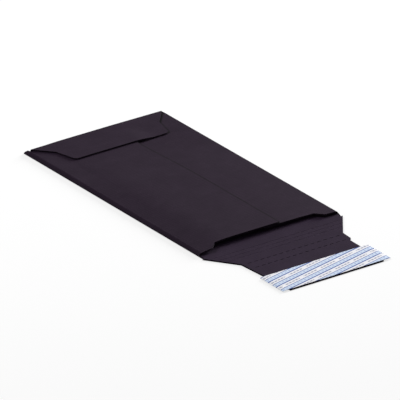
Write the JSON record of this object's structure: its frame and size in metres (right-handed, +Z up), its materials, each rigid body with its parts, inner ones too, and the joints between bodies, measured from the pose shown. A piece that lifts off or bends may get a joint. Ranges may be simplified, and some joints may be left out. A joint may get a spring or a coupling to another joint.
{
  "type": "corrugated mailer envelope",
  "caption": "Flat black corrugated board mailer with a lapped glued seam, a glued bottom flap and an open closing flap with an adhesive strip under its release liner.",
  "frame": {"origin": "middle of the outline on the surface that carries the mailer, under the front panel", "axes": "+X across the pocket, +Y along it towards the closed end, +Z up out of the seamed back"},
  "size_m": [0.17, 0.4262, 0.0082],
  "materials": {
    "board": "black through-dyed board, matt, with a faint washboard from the flutes",
    "glue": "dried glue film, hidden between the layers",
    "adhesive": "tacky translucent adhesive",
    "liner": null
  },
  "bodies": {
    "pocket": {"pocket": "board", "seam_glue": "glue", "bottom_flap_glue": "glue"},
    "closing_flap": {"closing_flap": "board", "adhesive_strip": "adhesive", "release_liner": "liner"}
  },
  "joints": [
    {"name": "closing_flap_fold", "type": "hinge", "parent": "pocket", "child": "closing_flap", "pos_m": [0, -0.1031, 0.0053], "axis": [-1, 0, 0], "range_deg": [0, 180]}
  ]
}
